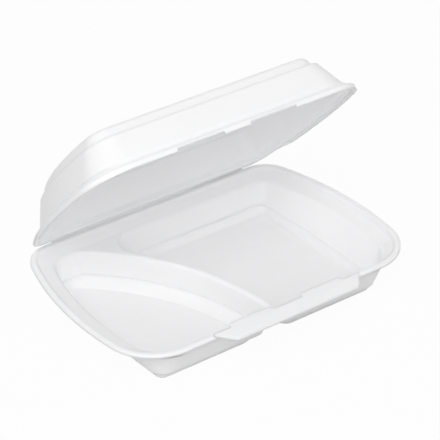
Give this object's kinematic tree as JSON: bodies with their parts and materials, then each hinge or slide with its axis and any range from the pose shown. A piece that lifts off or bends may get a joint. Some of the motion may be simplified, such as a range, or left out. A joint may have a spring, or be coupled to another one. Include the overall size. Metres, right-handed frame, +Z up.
{
  "type": "foam clamshell container",
  "caption": "Hinged meal box of white foam: tray with a curved divider between compartments, stepped rim and front tongue, and a nesting domed lid standing open on a pressed fold.",
  "frame": {"origin": "on the table, under the middle of the box between its fold and the front of its rim", "axes": "+X to the right across the box, +Y from the front tongue to the fold, +Z up"},
  "size_m": [0.239, 0.1783, 0.1478],
  "materials": {
    "foam": "matte pressed foam with a fine cell texture"
  },
  "bodies": {
    "base": {"base_tray": "foam"},
    "lid": {"lid": "foam"}
  },
  "joints": [
    {"name": "lid_hinge", "type": "hinge", "parent": "base", "child": "lid", "pos_m": [0, 0.07825, 0.0295], "axis": [-1, 0, 0], "range_deg": [-47, 118]}
  ]
}
